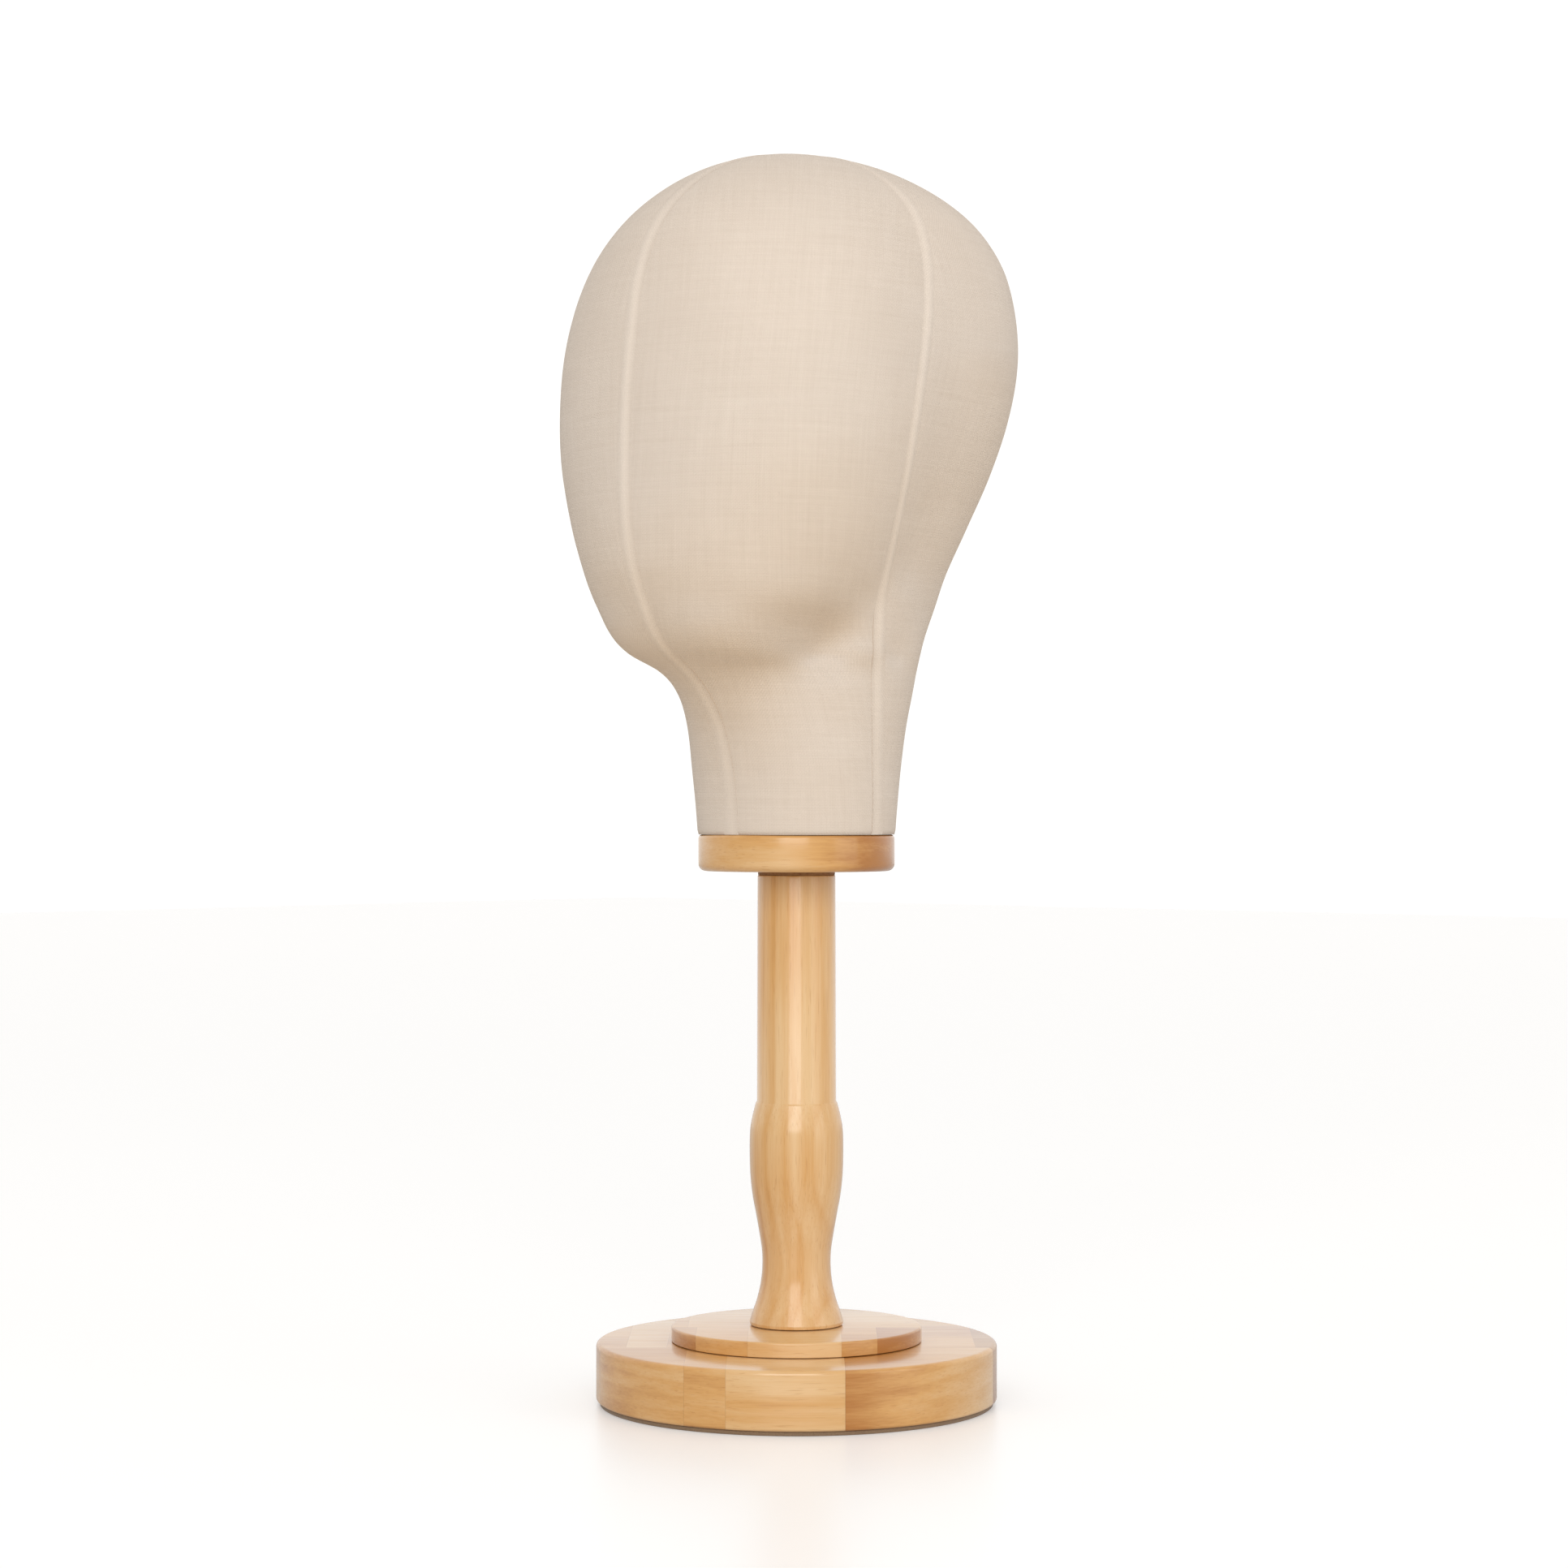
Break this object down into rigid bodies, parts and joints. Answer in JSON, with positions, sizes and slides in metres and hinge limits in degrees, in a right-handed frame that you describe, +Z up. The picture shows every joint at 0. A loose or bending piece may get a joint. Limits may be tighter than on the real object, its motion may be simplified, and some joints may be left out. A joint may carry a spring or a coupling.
{
  "type": "mannequin head stand",
  "caption": "Faceless linen-covered head form that turns on and lifts off a turned wooden post with a round stepped base.",
  "frame": {"origin": "on the post's axis, at the underside of the felt pad that the stand rests on", "axes": "+Z up along the post, -Y the way the faceless head looks, +X the head's own left side"},
  "size_m": [0.16, 0.1971, 0.4992],
  "materials": {
    "felt": "brown pressed felt",
    "base_wood": "honey-coloured edge-glued hardwood under glossy clear lacquer",
    "post_wood": "honey-coloured turned hardwood under glossy clear lacquer, grain along the post",
    "neck_wood": "orange-brown hardwood under clear lacquer, grain across the disc",
    "raw_wood": "unfinished softwood",
    "zinc_steel": "bright zinc plating",
    "brass_fitting": "plain drawn brass",
    "nylon": "dark brown nylon",
    "core": "light rigid foam and cork filling",
    "linen": "plain-woven natural linen stretched tight",
    "seam_linen": "rolled linen seam, a little lighter and smoother than the panels"
  },
  "bodies": {
    "stand": {"base_pad": "felt", "base_disc": "base_wood", "plinth_disc": "base_wood", "post": "post_wood", "base_bolt": "zinc_steel", "base_washer": "zinc_steel", "post_insert": "brass_fitting"},
    "swivel": {"swivel_washer": "nylon"},
    "head": {"neck_disc": "neck_wood", "neck_block": "raw_wood", "swivel_bush": "brass_fitting", "disc_screw_1": "zinc_steel", "disc_screw_2": "zinc_steel", "disc_screw_3": "zinc_steel", "disc_screw_4": "zinc_steel", "head_core": "core", "linen_front_right": "linen", "linen_front_left": "linen", "linen_back_right": "linen", "linen_back_left": "linen", "seam_centre": "seam_linen", "seam_right": "seam_linen", "seam_left": "seam_linen"}
  },
  "joints": [
    {"name": "head_swivel", "type": "hinge", "parent": "stand", "child": "swivel", "pos_m": [0, 0, 0.2116], "axis": [0, 0, 1], "continuous": true},
    {"name": "head_lift", "type": "slide", "parent": "swivel", "child": "head", "axis": [0, 0, 1], "range_m": [0, 0.05]}
  ]
}
